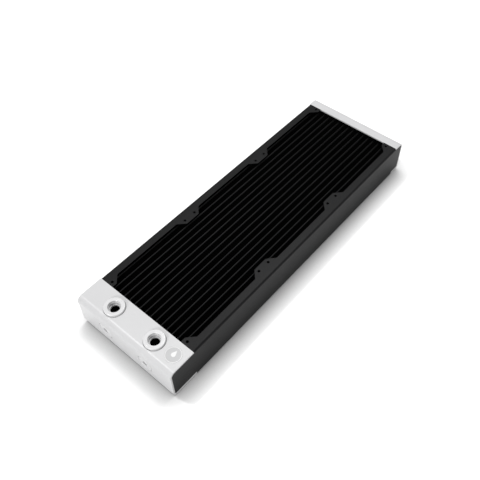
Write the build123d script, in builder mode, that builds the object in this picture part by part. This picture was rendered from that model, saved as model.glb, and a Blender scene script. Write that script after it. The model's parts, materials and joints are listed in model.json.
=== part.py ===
from build123d import *
import math
import os

# Liquid cooling radiator for three 120 mm fans: a brass and copper core between two tanks, dressed
# with two folded steel side panels and two folded end covers.
# Frame: origin at the centre of the underside, +X to the right, +Y from the ports to the far end, +Z up.
# All sizes are in millimetres.

# ---- Overall size ----
overall_length = 400.0
overall_width = 130.0
overall_height = 44.0

# ---- End covers: folded sheet, a U seen from the side ----
cover_sheet = 2.0
cover_bend_radius = 4.6  # inside of the bend
cover_lip_height = 4.6  # lip along each side of a cover's underside
rear_cover_length = 15.0
cover_edge_break = 0.3

# ---- Side panels: folded sheet, a C seen from the end ----
panel_sheet = 1.0
panel_bend_radius = 1.6  # inside of the bend
flange_width = 9.25
tab_corner_radius = 2.5

# ---- Fans: the standard 120 mm pattern ----
fan_count = 3
fan_pitch = 120.0
fan_hole_spacing = 105.0
fan_hole_radius = 1.5
tab_hole_margin = 4.8  # from a hole's centre to the tab's inner edge
tab_end_margin = 1.7  # from a hole's centre to the end of the tab's straight edge
tab_slope_run = 8.2  # length over which the tab falls back to the flange

# ---- Core ----
tube_count = 16
tube_thickness = 2.0
tube_wall = 0.2
core_recess = 4.6  # from the fan face down to the tubes
fin_recess = 0.4  # from the tubes' edges down to the fins
fin_fold_pitch = 1.5
fin_sheet = 0.08
core_plate_thickness = 1.6

# ---- Tanks ----
tank_wall = 1.0
tank_corner_radius = 2.0
cover_to_tank = 1.0
header_plate_thickness = 1.2
header_setback = 1.6  # from a cover's inner edge to the header's core side
tube_stub = 1.5  # tube that stands through the header into the tank
divider_thickness = 1.0

# ---- Ports: G1/4 parallel thread ----
port_spacing = 56.0
thread_radius = 6.58
thread_pitch = 1.337
thread_depth = 5.0
port_chamfer = 0.4
inner_hole_radius = 4.8
socket_floor = 1.0
spigot_wall = 2.42  # metal round the thread, inside the tank
collar_chamfer = 0.8
flush_flange_chamfer = 0.2
spigot_reach = 1.0  # least length of a spigot inside the tank
raised_rim = 4.42  # from the thread to the cover's opening round a raised socket
collar_height = 2.4  # raised socket above the cover's face
port_opening_chamfer = 0.3
flush_flange_overlap = 1.0  # flange that reaches under the cover round a flush port
port_to_bend = 0.3  # flat sheet between a flush port's flange and the cover's bend
port_to_tubes = 1.4  # from a spigot to the ends of the tubes

# ---- Stop plugs and their seals ----
plug_clearance = 0.08  # shank in bore
head_clearance = 0.3  # head in the cover's opening
head_recess = 0.1  # head below the cover's face
head_rim = 0.5  # head outside the seal's groove
shank_length = 4.3
thread_height = 0.6
hex_across_flats = 6.0
hex_depth = 3.7
seal_land = 0.32  # sealing face between the thread and the seal's groove
seal_groove_width = 1.5
seal_groove_depth = 1.0
seal_clearance = 0.02
seal_corner_radius = 0.3

# ---- Badge ----
badge_radius = 8.3
badge_from_side = 13.0
badge_setback = 17.9  # from the nose to the badge's centre
badge_pocket_depth = 0.5
badge_relief = 0.15
badge_rim = 0.7
droplet_radius = 2.3
droplet_height = 5.2  # from the round end's centre to the tip

# ---- Clearances ----
fit_gap = 0.05  # pieces that slide together before they are soldered
socket_gap = 0.1  # raised socket in the cover's opening

# ---- Places that follow from the sizes above ----
half_width = overall_width / 2
mid_z = overall_height / 2
nose_y = -overall_length / 2
tail_y = overall_length / 2

spigot_radius = thread_radius + spigot_wall
raised_opening_radius = thread_radius + raised_rim
shank_radius = thread_radius - plug_clearance
seal_groove_inner_radius = thread_radius + seal_land
seal_groove_outer_radius = seal_groove_inner_radius + seal_groove_width
head_radius = seal_groove_outer_radius + head_rim
flush_opening_radius = head_radius + head_clearance
flush_flange_radius = flush_opening_radius + flush_flange_overlap

# The front chamber and its cover are as long as the ports need between the bend and the tubes.
front_chamber_y = nose_y + cover_sheet + cover_bend_radius + port_to_bend + flush_flange_radius
header_front_y = front_chamber_y + spigot_radius + port_to_tubes + tube_stub + header_plate_thickness
front_edge_y = header_front_y + header_setback
rear_edge_y = tail_y - rear_cover_length
fan_centre_y = (front_edge_y + rear_edge_y) / 2
fan_hole_x = fan_hole_spacing / 2
fan_centres = [fan_centre_y + fan_pitch * (i - (fan_count - 1) / 2) for i in range(fan_count)]

panel_inner_x = half_width - panel_sheet
panel_outer_bend = panel_bend_radius + panel_sheet
tab_edge_x = fan_hole_x - tab_hole_margin

tank_half_width = panel_inner_x - fit_gap
tank_low_z = cover_sheet + cover_to_tank
tank_high_z = overall_height - tank_low_z
header_rear_y = rear_edge_y + header_setback
tank_nose_y = nose_y + cover_sheet + cover_to_tank
tank_tail_y = tail_y - cover_sheet - cover_to_tank

core_plate_inner_x = tank_half_width - core_plate_thickness
tube_pitch = (2 * core_plate_inner_x + tube_thickness) / (tube_count + 1)
tube_depth = overall_height - 2 * core_recess
fin_depth = tube_depth - 2 * fin_recess
fin_width = tube_pitch - tube_thickness - 2 * fit_gap
fin_row_count = tube_count + 1
fin_start_y = header_front_y + fit_gap
fin_end_y = header_rear_y - fit_gap

left_x = -port_spacing / 2
right_x = port_spacing / 2

os.makedirs("parts", exist_ok=True)


def save(piece, label):
    """Name a finished piece and write it to its own file."""
    piece.part.label = label
    export_step(piece.part, f"parts/{label}.step")


def port_plane(x, face):
    """Plane of a port's mouth on the cover's outer face, with its normal pointing out of the port."""
    if face == "top":
        return Plane(origin=(x, front_chamber_y, overall_height), x_dir=(1, 0, 0), z_dir=(0, 0, 1))
    if face == "bottom":
        return Plane(origin=(x, front_chamber_y, 0), x_dir=(1, 0, 0), z_dir=(0, 0, -1))
    return Plane(origin=(x, nose_y, mid_z), x_dir=(1, 0, 0), z_dir=(0, -1, 0))


def radial_plane(mouth):
    """Plane through a port's axis: its X is the radius and its Y is the height above the mouth."""
    return Plane(origin=mouth.origin, x_dir=mouth.x_dir, z_dir=-mouth.y_dir)


def axis_of(mouth):
    """Axis of a port, pointing out of its mouth."""
    return Axis(mouth.origin, mouth.z_dir)


sides = {"left": left_x, "right": right_x}
raised_ports = {f"top_{side}": port_plane(x, "top") for side, x in sides.items()}
flush_ports = {
    f"{face}_{side}": port_plane(x, face) for face in ("front", "bottom") for side, x in sides.items()
}


# ---- Flat tubes and fin rows ----


def build_tube(x):
    """Flat tube with round edges, a thin wall and a web that holds its two flats apart."""
    start_y = header_front_y - header_plate_thickness - tube_stub
    end_y = header_rear_y + header_plate_thickness + tube_stub
    section = Plane(origin=(x, start_y, mid_z), x_dir=(0, 0, 1), z_dir=(0, 1, 0))
    with BuildPart() as tube:
        with BuildSketch(section):
            SlotOverall(tube_depth, tube_thickness)
            SlotOverall(tube_depth - 2 * tube_wall, tube_thickness - 2 * tube_wall, mode=Mode.SUBTRACT)
            Rectangle(tube_wall, tube_thickness - tube_wall)
        extrude(amount=end_y - start_y)
    return tube


def build_fin_row(x):
    """Ribbon folded in a zigzag that fills the space between two tubes."""
    fold_count = int((fin_end_y - fin_start_y) / fin_fold_pitch)
    fold_pitch = (fin_end_y - fin_start_y) / fold_count
    # The sheet lies across the row, so its thickness measured along X is larger than the sheet.
    sheet_along_x = fin_sheet * math.hypot(fin_width, fold_pitch) / fold_pitch
    reach = (fin_width - sheet_along_x) / 2
    folds = [(x + reach * (-1) ** i, fin_start_y + i * fold_pitch) for i in range(fold_count + 1)]
    right_side = [(fold_x + sheet_along_x / 2, y) for fold_x, y in folds]
    left_side = [(fold_x - sheet_along_x / 2, y) for fold_x, y in reversed(folds)]
    with BuildPart() as row:
        with BuildSketch(Plane.XY.offset(mid_z - fin_depth / 2)):
            with BuildLine():
                Polyline(*right_side, *left_side, close=True)
            make_face()
        extrude(amount=fin_depth)
    return row


tube_centres = [tube_pitch * (i - (tube_count - 1) / 2) for i in range(tube_count)]
fin_centres = [tube_pitch * (i - (fin_row_count - 1) / 2) for i in range(fin_row_count)]

for number, centre in enumerate(tube_centres, start=1):
    save(build_tube(centre), f"flat_tube_{number:02d}")

for number, centre in enumerate(fin_centres, start=1):
    save(build_fin_row(centre), f"fin_row_{number:02d}")


# ---- Core side plates: they close the core beside the outermost fin rows ----


def build_core_plate(side):
    """Strip as tall as the tanks, soldered between their mouths."""
    plate_x = side * (core_plate_inner_x + core_plate_thickness / 2)
    with BuildPart() as plate:
        with BuildSketch(Plane.XY.offset(tank_low_z)):
            with Locations((plate_x, (fin_start_y + fin_end_y) / 2)):
                Rectangle(core_plate_thickness, fin_end_y - fin_start_y)
        extrude(amount=tank_high_z - tank_low_z)
    return plate


save(build_core_plate(-1), "left_core_plate")
save(build_core_plate(1), "right_core_plate")


# ---- Header plates: each closes a tank and holds all the tubes ----


def build_header_plate(core_side_y, outward):
    """Plate with a slot for each tube; outward is -1 at the port end and +1 at the far end."""
    section = Plane(origin=(0, core_side_y, mid_z), x_dir=(1, 0, 0), z_dir=(0, outward, 0))
    plate_height = tank_high_z - tank_low_z - 2 * (tank_wall + fit_gap)
    with BuildPart() as plate:
        with BuildSketch(section):
            Rectangle(2 * (tank_half_width - tank_wall - fit_gap), plate_height)
            with GridLocations(tube_pitch, 1, tube_count, 1):
                SlotOverall(tube_depth + 2 * fit_gap, tube_thickness + 2 * fit_gap, 90, mode=Mode.SUBTRACT)
        extrude(amount=header_plate_thickness)
    return plate


save(build_header_plate(header_front_y, -1), "front_header_plate")
save(build_header_plate(header_rear_y, 1), "rear_header_plate")


# ---- Tanks: drawn pans, open towards the core ----


def build_tank(mouth_y, end_y, ports):
    """Pan from its mouth at the core to its closed end, with a hole for each socket's spigot."""
    outward = math.copysign(1, end_y - mouth_y)
    depth = abs(end_y - mouth_y)
    width = 2 * tank_half_width
    height = tank_high_z - tank_low_z
    mouth = Plane(origin=(0, mouth_y, mid_z), x_dir=(1, 0, 0), z_dir=(0, outward, 0))
    with BuildPart() as tank:
        with BuildSketch(mouth):
            Rectangle(width, height)
        extrude(amount=depth)
        closed_end = tank.faces().sort_by(Axis(mouth.origin, mouth.z_dir))[-1]
        fillet(closed_end.edges(), tank_corner_radius)
        with BuildSketch(mouth):
            Rectangle(width - 2 * tank_wall, height - 2 * tank_wall)
        extrude(amount=depth - tank_wall, mode=Mode.SUBTRACT)
        for port in ports:
            with BuildSketch(port):
                Circle(spigot_radius + fit_gap)
            extrude(amount=-(cover_sheet + cover_to_tank + 2 * tank_wall), mode=Mode.SUBTRACT)
    return tank


all_ports = [*raised_ports.values(), *flush_ports.values()]
save(build_tank(header_front_y, tank_nose_y, all_ports), "front_tank")
save(build_tank(header_rear_y, tank_tail_y, []), "rear_tank")

# The divider sends the coolant down one half of the tubes and back up the other.
divider_start_y = tank_nose_y + tank_wall + fit_gap
divider_end_y = header_front_y - header_plate_thickness - fit_gap
divider_height = tank_high_z - tank_low_z - 2 * (tank_wall + fit_gap)
with BuildPart() as tank_divider:
    with BuildSketch(Plane.XY.offset(mid_z - divider_height / 2)):
        with Locations((0, (divider_start_y + divider_end_y) / 2)):
            Rectangle(divider_thickness, divider_end_y - divider_start_y)
    extrude(amount=divider_height)
save(tank_divider, "tank_divider")


# ---- Side panels: folded, with tabs for the fan screws on both faces ----


def tab_outline(side):
    """Plan of one flange: tabs at the fan holes, falling back to the flange between them."""
    beyond_x = side * (half_width + 10)
    flange_x = side * (half_width - flange_width)
    tip_x = side * tab_edge_x
    spans = [fan_hole_spacing / 2 - tab_end_margin - offset for offset in (0, tab_slope_run)]
    points = [(beyond_x, front_edge_y - 10), (tip_x, front_edge_y - 10)]
    for centre in fan_centres:
        points.append((tip_x, centre - spans[0]))
        points.append((flange_x, centre - spans[1]))
        points.append((flange_x, centre + spans[1]))
        points.append((tip_x, centre + spans[0]))
    points.extend([(tip_x, rear_edge_y + 10), (beyond_x, rear_edge_y + 10)])
    return points


def build_side_panel(side):
    """Wall along the whole radiator; side is -1 on the left and +1 on the right."""
    flange_reach = half_width - tab_edge_x
    section = Plane(origin=(0, front_edge_y + fit_gap, mid_z), x_dir=(1, 0, 0), z_dir=(0, 1, 0))
    flange_length = rear_edge_y - front_edge_y - 2 * fit_gap
    wall_low_z = cover_lip_height + fit_gap
    wall_start_y = nose_y + cover_sheet + fit_gap
    wall_end_y = tail_y - cover_sheet - fit_gap
    wall_plane = Plane(origin=(side * panel_inner_x, 0, 0), x_dir=(0, side, 0), z_dir=(side, 0, 0))
    with BuildPart() as panel:
        # folded channel between the two covers
        with BuildSketch(section) as channel:
            with Locations((side * (half_width - flange_reach / 2), 0)):
                Rectangle(flange_reach, overall_height)
            fillet(channel.vertices().group_by(Axis.X)[-1 if side > 0 else 0], panel_outer_bend)
            with BuildSketch(mode=Mode.PRIVATE) as hollow:
                with Locations((side * (panel_inner_x - flange_reach / 2), 0)):
                    Rectangle(flange_reach, overall_height - 2 * panel_sheet)
                fillet(hollow.vertices().group_by(Axis.X)[-1 if side > 0 else 0], panel_bend_radius)
            add(hollow.sketch, mode=Mode.SUBTRACT)
        extrude(amount=flange_length)
        # the flanges' outline, with its tabs
        with BuildSketch(Plane.XY):
            with BuildLine():
                FilletPolyline(*tab_outline(side), radius=tab_corner_radius, close=True)
            make_face()
        extrude(amount=overall_height, mode=Mode.INTERSECT)
        # plain wall that runs on inside both covers and stands on their lips
        with BuildSketch(wall_plane) as wall:
            with Locations((side * (wall_start_y + wall_end_y) / 2, mid_z)):
                Rectangle(wall_end_y - wall_start_y, overall_height - 2 * (cover_sheet + fit_gap))
            fillet(wall.vertices(), cover_bend_radius)
            with Locations((side * (wall_start_y + wall_end_y) / 2, (wall_low_z + overall_height) / 2)):
                Rectangle(overall_length, overall_height - wall_low_z, mode=Mode.INTERSECT)
        extrude(amount=panel_sheet)
        # fan screw holes through the upper and the lower flange
        with BuildSketch(Plane.XY):
            for centre in fan_centres:
                with Locations((0, centre)):
                    with GridLocations(0, fan_hole_spacing, 1, 2):
                        with Locations((side * fan_hole_x, 0)):
                            Circle(fan_hole_radius)
        extrude(amount=overall_height, mode=Mode.SUBTRACT)
    return panel


save(build_side_panel(-1), "left_side_panel")
save(build_side_panel(1), "right_side_panel")


# ---- End covers ----


def build_cover(end_y, edge_y, openings, pocket):
    """Folded sheet over a tank; openings maps each port plane to its radius and chamfer."""
    outward = math.copysign(1, end_y - edge_y)
    length = abs(end_y - edge_y)
    # Local X of the section runs from the cover's inner edge to the closed end.
    section = Plane(origin=(0, edge_y, mid_z), x_dir=(0, outward, 0), z_dir=(outward, 0, 0))
    with BuildPart() as cover:
        with BuildSketch(section) as shell:
            with Locations((length / 2, 0)):
                Rectangle(length, overall_height)
            fillet(shell.vertices().group_by(Axis.X)[-1], cover_bend_radius + cover_sheet)
            with BuildSketch(mode=Mode.PRIVATE) as hollow:
                with Locations(((length - cover_sheet) / 2, 0)):
                    Rectangle(length - cover_sheet, overall_height - 2 * cover_sheet)
                fillet(hollow.vertices().group_by(Axis.X)[-1], cover_bend_radius)
            add(hollow.sketch, mode=Mode.SUBTRACT)
        extrude(amount=half_width, both=True)
        side_faces = cover.faces().filter_by(Axis.X).group_by(Axis.X)
        chamfer([*side_faces[0].edges(), *side_faces[-1].edges()], cover_edge_break)
        # low lips along the sides of the underside, on which the side panels' walls stand
        for side in (-1, 1):
            lip_plane = section.offset(outward * side * (half_width - panel_sheet / 2))
            with BuildSketch(lip_plane) as lip:
                with Locations((length / 2, 0)):
                    Rectangle(length, overall_height)
                fillet(lip.vertices().group_by(Axis.X)[-1], cover_bend_radius + cover_sheet)
                with Locations((length / 2, cover_lip_height / 2 - mid_z)):
                    Rectangle(length, cover_lip_height, mode=Mode.INTERSECT)
            extrude(amount=panel_sheet / 2, both=True)
        for port, radius, edge_chamfer in openings:
            with BuildSketch(port):
                Circle(radius)
            extrude(amount=-(cover_sheet + edge_chamfer), mode=Mode.SUBTRACT)
            with BuildSketch(port):
                Circle(radius + edge_chamfer)
            extrude(amount=-edge_chamfer, taper=45, mode=Mode.SUBTRACT)
        if pocket:
            with BuildSketch(pocket):
                Circle(badge_radius + fit_gap)
            extrude(amount=-badge_pocket_depth, mode=Mode.SUBTRACT)
    return cover


badge_plane = Plane(
    origin=(half_width - badge_from_side, nose_y + badge_setback, overall_height), z_dir=(0, 0, 1)
)
port_openings = [(port, raised_opening_radius, port_opening_chamfer) for port in raised_ports.values()]
port_openings += [(port, flush_opening_radius, port_opening_chamfer) for port in flush_ports.values()]
save(build_cover(nose_y, front_edge_y, port_openings, badge_plane), "front_cover")
save(build_cover(tail_y, rear_edge_y, [], None), "rear_cover")

# Round badge with a raised rim and a plain water drop, flush with the cover.
with BuildPart() as badge:
    with BuildSketch(badge_plane.offset(-badge_pocket_depth)):
        Circle(badge_radius)
    extrude(amount=badge_pocket_depth - badge_relief)
    with BuildSketch(badge_plane.offset(-badge_relief)):
        Circle(badge_radius)
        Circle(badge_radius - badge_rim, mode=Mode.SUBTRACT)
        tangent_angle = math.acos(droplet_radius / droplet_height)
        tangent_x = droplet_radius * math.sin(tangent_angle)
        tangent_y = droplet_radius * math.cos(tangent_angle)
        Circle(droplet_radius)
        with BuildLine():
            Polyline((-tangent_x, tangent_y), (0, droplet_height), (tangent_x, tangent_y), close=True)
        make_face()
    extrude(amount=badge_relief)
save(badge, "badge")


# ---- Port sockets: turned bosses that are soldered into the front tank ----


def build_socket(mouth, face_depth, flange_radius, edge_chamfer):
    """Turned socket; face_depth is how far its sealing face lies below the cover's face."""
    floor_depth = face_depth + thread_depth
    seat_depth = cover_sheet + cover_to_tank
    end_depth = max(floor_depth + socket_floor, seat_depth + tank_wall + spigot_reach)
    with BuildPart() as socket:
        with BuildSketch(radial_plane(mouth)):
            with BuildLine():
                Polyline(
                    (inner_hole_radius, -end_depth),
                    (spigot_radius, -end_depth),
                    (spigot_radius, -seat_depth),
                    (flange_radius, -seat_depth),
                    (flange_radius, -face_depth - edge_chamfer),
                    (flange_radius - edge_chamfer, -face_depth),
                    (thread_radius + port_chamfer, -face_depth),
                    (thread_radius, -face_depth - port_chamfer),
                    (thread_radius, -floor_depth),
                    (inner_hole_radius, -floor_depth),
                    close=True,
                )
            make_face()
        revolve(axis=axis_of(mouth))
    return socket


for port_name, mouth in raised_ports.items():
    socket = build_socket(mouth, -collar_height, raised_opening_radius - socket_gap, collar_chamfer)
    save(socket, f"{port_name}_port")

for port_name, mouth in flush_ports.items():
    socket = build_socket(mouth, cover_sheet, flush_flange_radius, flush_flange_chamfer)
    save(socket, f"{port_name}_port")


# ---- Stop plugs and seals: one of each in every flush port ----


def build_plug(mouth):
    """Plug with a flat head, a hexagon socket, a groove for its seal and a threaded shank."""
    root_radius = shank_radius - thread_height
    crest_count = int(shank_length / thread_pitch)
    profile = [
        (0, -head_recess),
        (head_radius, -head_recess),
        (head_radius, -cover_sheet),
        (seal_groove_outer_radius, -cover_sheet),
        (seal_groove_outer_radius, -cover_sheet + seal_groove_depth),
        (seal_groove_inner_radius, -cover_sheet + seal_groove_depth),
        (seal_groove_inner_radius, -cover_sheet),
        (root_radius, -cover_sheet),
    ]
    for turn in range(crest_count):
        crest_top = -cover_sheet - port_chamfer - turn * thread_pitch
        profile.append((root_radius, crest_top))
        profile.append((shank_radius, crest_top - 0.4 * thread_pitch))
        profile.append((shank_radius, crest_top - 0.5 * thread_pitch))
        profile.append((root_radius, crest_top - 0.9 * thread_pitch))
    profile.append((root_radius, -cover_sheet - shank_length))
    profile.append((0, -cover_sheet - shank_length))
    with BuildPart() as plug:
        with BuildSketch(radial_plane(mouth)):
            with BuildLine():
                Polyline(*profile, close=True)
            make_face()
        revolve(axis=axis_of(mouth))
        with BuildSketch(mouth):
            RegularPolygon(hex_across_flats / 2, 6, major_radius=False)
        extrude(amount=-hex_depth - head_recess, mode=Mode.SUBTRACT)
    return plug


def build_seal(mouth):
    """Rubber ring, pressed flat between the plug's head and the socket's face."""
    seal_width = seal_groove_width - 2 * fit_gap
    seal_height = seal_groove_depth - 2 * seal_clearance
    seal_middle = (seal_groove_inner_radius + seal_groove_width / 2, -cover_sheet + seal_groove_depth / 2)
    with BuildPart() as seal:
        with BuildSketch(radial_plane(mouth)):
            with Locations(seal_middle):
                RectangleRounded(seal_width, seal_height, seal_corner_radius)
        revolve(axis=axis_of(mouth))
    return seal


for port_name, mouth in flush_ports.items():
    save(build_plug(mouth), f"{port_name}_plug")
    save(build_seal(mouth), f"{port_name}_seal")
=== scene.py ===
# %% [markdown]
# # A liquid cooling radiator
# Warm coolant comes in at one round port, runs down half of the flat tubes, turns round in the far tank and
# comes back up the other half, while three fans push air through the folded fins between the tubes.
# The design is already packed as a frame: its sizes, places and joints come from there.
# This lesson gives every piece the shape and finish that a person would see with the radiator in hand.

# %% Load the frame
import json
import math

import bmesh
import bpy
from mathutils import Matrix, Vector


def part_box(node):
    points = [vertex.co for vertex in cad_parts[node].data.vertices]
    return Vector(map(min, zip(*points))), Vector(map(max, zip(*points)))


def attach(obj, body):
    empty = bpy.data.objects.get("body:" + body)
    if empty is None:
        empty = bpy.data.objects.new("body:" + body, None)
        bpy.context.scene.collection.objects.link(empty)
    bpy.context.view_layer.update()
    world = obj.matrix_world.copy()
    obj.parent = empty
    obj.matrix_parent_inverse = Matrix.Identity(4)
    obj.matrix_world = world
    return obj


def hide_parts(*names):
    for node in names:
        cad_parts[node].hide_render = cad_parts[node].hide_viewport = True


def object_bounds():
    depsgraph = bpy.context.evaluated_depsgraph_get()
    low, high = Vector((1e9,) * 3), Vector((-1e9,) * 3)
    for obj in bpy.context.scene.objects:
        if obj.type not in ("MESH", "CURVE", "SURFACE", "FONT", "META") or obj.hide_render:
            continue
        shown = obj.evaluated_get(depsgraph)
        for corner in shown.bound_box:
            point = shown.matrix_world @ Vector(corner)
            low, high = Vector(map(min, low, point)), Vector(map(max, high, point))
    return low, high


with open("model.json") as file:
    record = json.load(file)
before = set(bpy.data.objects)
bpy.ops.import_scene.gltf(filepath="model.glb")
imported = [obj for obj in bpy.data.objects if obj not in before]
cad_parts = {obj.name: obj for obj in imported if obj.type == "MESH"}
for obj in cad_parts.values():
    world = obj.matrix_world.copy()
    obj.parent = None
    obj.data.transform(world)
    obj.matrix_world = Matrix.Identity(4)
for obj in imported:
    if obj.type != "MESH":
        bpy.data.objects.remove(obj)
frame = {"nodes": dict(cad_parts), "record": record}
cad_low, cad_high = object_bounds()
print("CAD box in metres:", [round(v, 4) for v in (*cad_low, *cad_high)])

# %% [markdown]
# ## Work in millimetres
# Blender's scene is in metres, but a maker of sheet metal thinks in millimetres, and very small numbers also
# upset some mesh tools. So each piece is drawn in millimetres and scaled once, when it becomes an object.
# Wherever the frame knows a size, such as a cover's edge or a fan's centre, it is read from the frame.

# %% Sizes from the frame
mm = 0.001


def box(node):
    """Lowest and highest corner of a CAD node, in millimetres."""
    low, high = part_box(node)
    return low / mm, high / mm


def centre_of(node):
    """Middle of a CAD node's box, in millimetres."""
    low, high = box(node)
    return (low + high) / 2


def radius_of(node):
    """Half the width of a CAD node, in millimetres."""
    low, high = box(node)
    return (high.x - low.x) / 2


mounts = {mount["name"]: mount for mount in frame["record"]["mounts"]}
half_width, tail_y = cad_high.xy / mm
top_z = box("front_cover")[1].z
nose_y = cad_low.y / mm
front_edge_y = box("front_cover")[1].y
rear_edge_y = box("rear_cover")[0].y
fan_centres = [mounts[f"top_fan_{number}"]["pos_m"][1] / mm for number in (1, 2, 3)]
fan_hole_reach = mounts["top_fan_1"]["dims"]["spacing_y_mm"] / 2
fan_hole_radius = mounts["top_fan_1"]["dims"]["hole_r_mm"]
thread_radius = mounts["top_left_port"]["dims"]["r_mm"]
fit_gap = 0.05
print("covers end at y =", round(front_edge_y, 2), "and", round(rear_edge_y, 2))

# %% [markdown]
# ## Finishes first: two shared effects
# Every surface here is a sprayed or baked coat, a moulded rubber or a turned metal. What they share is a fine
# relief and a slight unevenness. Such an effect is made once as a node group with named inputs and outputs,
# and each finish places it with its own values. The alternative, copying the nodes into each material, makes
# every later change a hunt through nine materials.

# %% A helper that starts a node group
def start_group(name, inputs, outputs):
    """New shader group; inputs and outputs are (label, socket type, value or None)."""
    group = bpy.data.node_groups.new(name, "ShaderNodeTree")
    for label, kind, value in inputs:
        group.interface.new_socket(name=label, in_out="INPUT", socket_type=kind).default_value = value
    for label, kind in outputs:
        group.interface.new_socket(name=label, in_out="OUTPUT", socket_type=kind)
    return group, group.nodes.new("NodeGroupInput"), group.nodes.new("NodeGroupOutput")


def add_node(tree, kind, links=(), **settings):
    """Node of a kind with its settings; links maps an input's name or number to a socket or a value."""
    node = tree.nodes.new("ShaderNode" + kind)
    for name, value in settings.items():
        setattr(node, name, value)
    for key, value in dict(links).items():
        if isinstance(value, bpy.types.NodeSocket):
            tree.links.new(value, node.inputs[key])
        else:
            node.inputs[key].default_value = value
    return node


def stretch(tree, value, low, high, to_low=0.0, to_high=1.0):
    """Socket that goes from to_low to to_high while value goes from low to high."""
    ends = {"From Min": low, "From Max": high, "To Min": to_low, "To Max": to_high}
    return add_node(tree, "MapRange", {"Value": value, **ends}).outputs[0]


NUMBER = "NodeSocketFloat"
print("node helpers: start_group, add_node, stretch")

# %% [markdown]
# ### Coat grain
# Powder paint melts on the metal into a skin like orange peel: bumps a third of a millimetre wide, lying on
# waves a few millimetres wide. Two noises at those two sizes are added into one height, and the finer one
# also leaves the skin a little rougher in its hollows. A cloud much larger than both gives the slow change
# of tone that every sprayed part has. A painted picture would need unwrapping and show seams at the bends,
# while noise reads the piece's own coordinates.

# %% Coat grain group
def make_coat_grain():
    """Group that puts out a height, a fine fleck and a slow cloud, all from 0 to 1."""
    inputs = [("Fine size", NUMBER, 2600.0), ("Wave size", NUMBER, 420.0), ("Cloud size", NUMBER, 22.0)]
    outputs = [("Height", NUMBER), ("Fleck", NUMBER), ("Cloud", NUMBER)]
    group, source, result = start_group("Coat grain", inputs, outputs)
    place = add_node(group, "TexCoord").outputs["Object"]
    texture = {"Vector": place, "Scale": source.outputs[0], "Detail": 3.0, "Roughness": 0.6}
    fine = add_node(group, "TexNoise", texture)
    wave = add_node(group, "TexNoise", {"Vector": place, "Scale": source.outputs[1], "Detail": 1.0})
    cloud = add_node(group, "TexNoise", {"Vector": place, "Scale": source.outputs[2], "Detail": 4.0})
    both = {0: wave.outputs[0], 1: 1.6, 2: fine.outputs[0]}
    height = add_node(group, "Math", both, operation="MULTIPLY_ADD")
    group.links.new(height.outputs[0], result.inputs["Height"])
    group.links.new(fine.outputs[0], result.inputs["Fleck"])
    group.links.new(stretch(group, cloud.outputs[0], 0.3, 0.7), result.inputs["Cloud"])
    return group


coat_grain = make_coat_grain()
print("coat grain:", len(coat_grain.nodes), "nodes")

# %% [markdown]
# ### Edge wear and a painted edge highlight
# Paint is thinnest on a sharp edge, and that is where hands and screws rub it. The Bevel node gives the
# normal as if the edge were rounder than it is. Where this differs from the true normal, an edge is near.
# The mask is broken up with noise, because real wear is never an even line. Each coat's edge tone is
# lighter than the coat, so the same mask also paints a highlight along the edges, and white edges come out
# whiter than their paint. Wear painted by hand would have to be painted again after every change of shape.

# %% Edge wear and painted highlight group
def make_edge_wear_and_highlight():
    """Group that puts out a mask, 1 near an edge: worn paint and a painted edge highlight."""
    inputs = [("Reach", NUMBER, 0.0006), ("Amount", NUMBER, 1.0), ("Breakup size", NUMBER, 260.0)]
    group, source, result = start_group("Edge wear and painted highlight", inputs, [("Mask", NUMBER)])
    rounder = add_node(group, "Bevel", {"Radius": source.outputs[0]}, samples=4)
    normal = add_node(group, "NewGeometry").outputs["Normal"]
    same = add_node(group, "VectorMath", {0: rounder.outputs[0], 1: normal}, operation="DOT_PRODUCT")
    near = stretch(group, same.outputs["Value"], 0.99, 0.86)
    place = add_node(group, "TexCoord").outputs["Object"]
    breakup = add_node(group, "TexNoise", {"Vector": place, "Scale": source.outputs[2], "Detail": 5.0})
    patches = stretch(group, breakup.outputs[0], 0.42, 0.62)
    worn = add_node(group, "Math", {0: near, 1: patches}, operation="MULTIPLY")
    mask = add_node(group, "Math", {0: worn.outputs[0], 1: source.outputs[1]}, operation="MULTIPLY")
    group.links.new(mask.outputs[0], result.inputs["Mask"])
    return group


edge_wear_and_highlight = make_edge_wear_and_highlight()
print("edge wear:", len(edge_wear_and_highlight.nodes), "nodes")

# %% [markdown]
# ### One recipe for every coat
# A coat is one Principled shader. The cloud mixes two close tones, the edge mask mixes in a lighter edge
# tone that stands for worn paint and a painted highlight, the fleck moves the roughness up and down, and the
# height feeds a Bump node. Numbers that are the same all over, such as the strength of the shine, are set on
# the shader itself.

# %% Coat recipe
def mix_colours(tree, factor, first, second):
    """Colour socket that goes from first to second as factor goes from 0 to 1."""
    node = add_node(tree, "Mix", data_type="RGBA")
    tree.links.new(factor, node.inputs[0])
    for socket, colour in ((node.inputs[6], first), (node.inputs[7], second)):
        if isinstance(colour, bpy.types.NodeSocket):
            tree.links.new(colour, socket)
        else:
            socket.default_value = (*colour, 1.0)
    return node.outputs[2]


def start_material(name):
    """New material, its node tree and its shader."""
    material = bpy.data.materials.new(name)
    material.use_nodes = True
    return material, material.node_tree, material.node_tree.nodes["Principled BSDF"]


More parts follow.
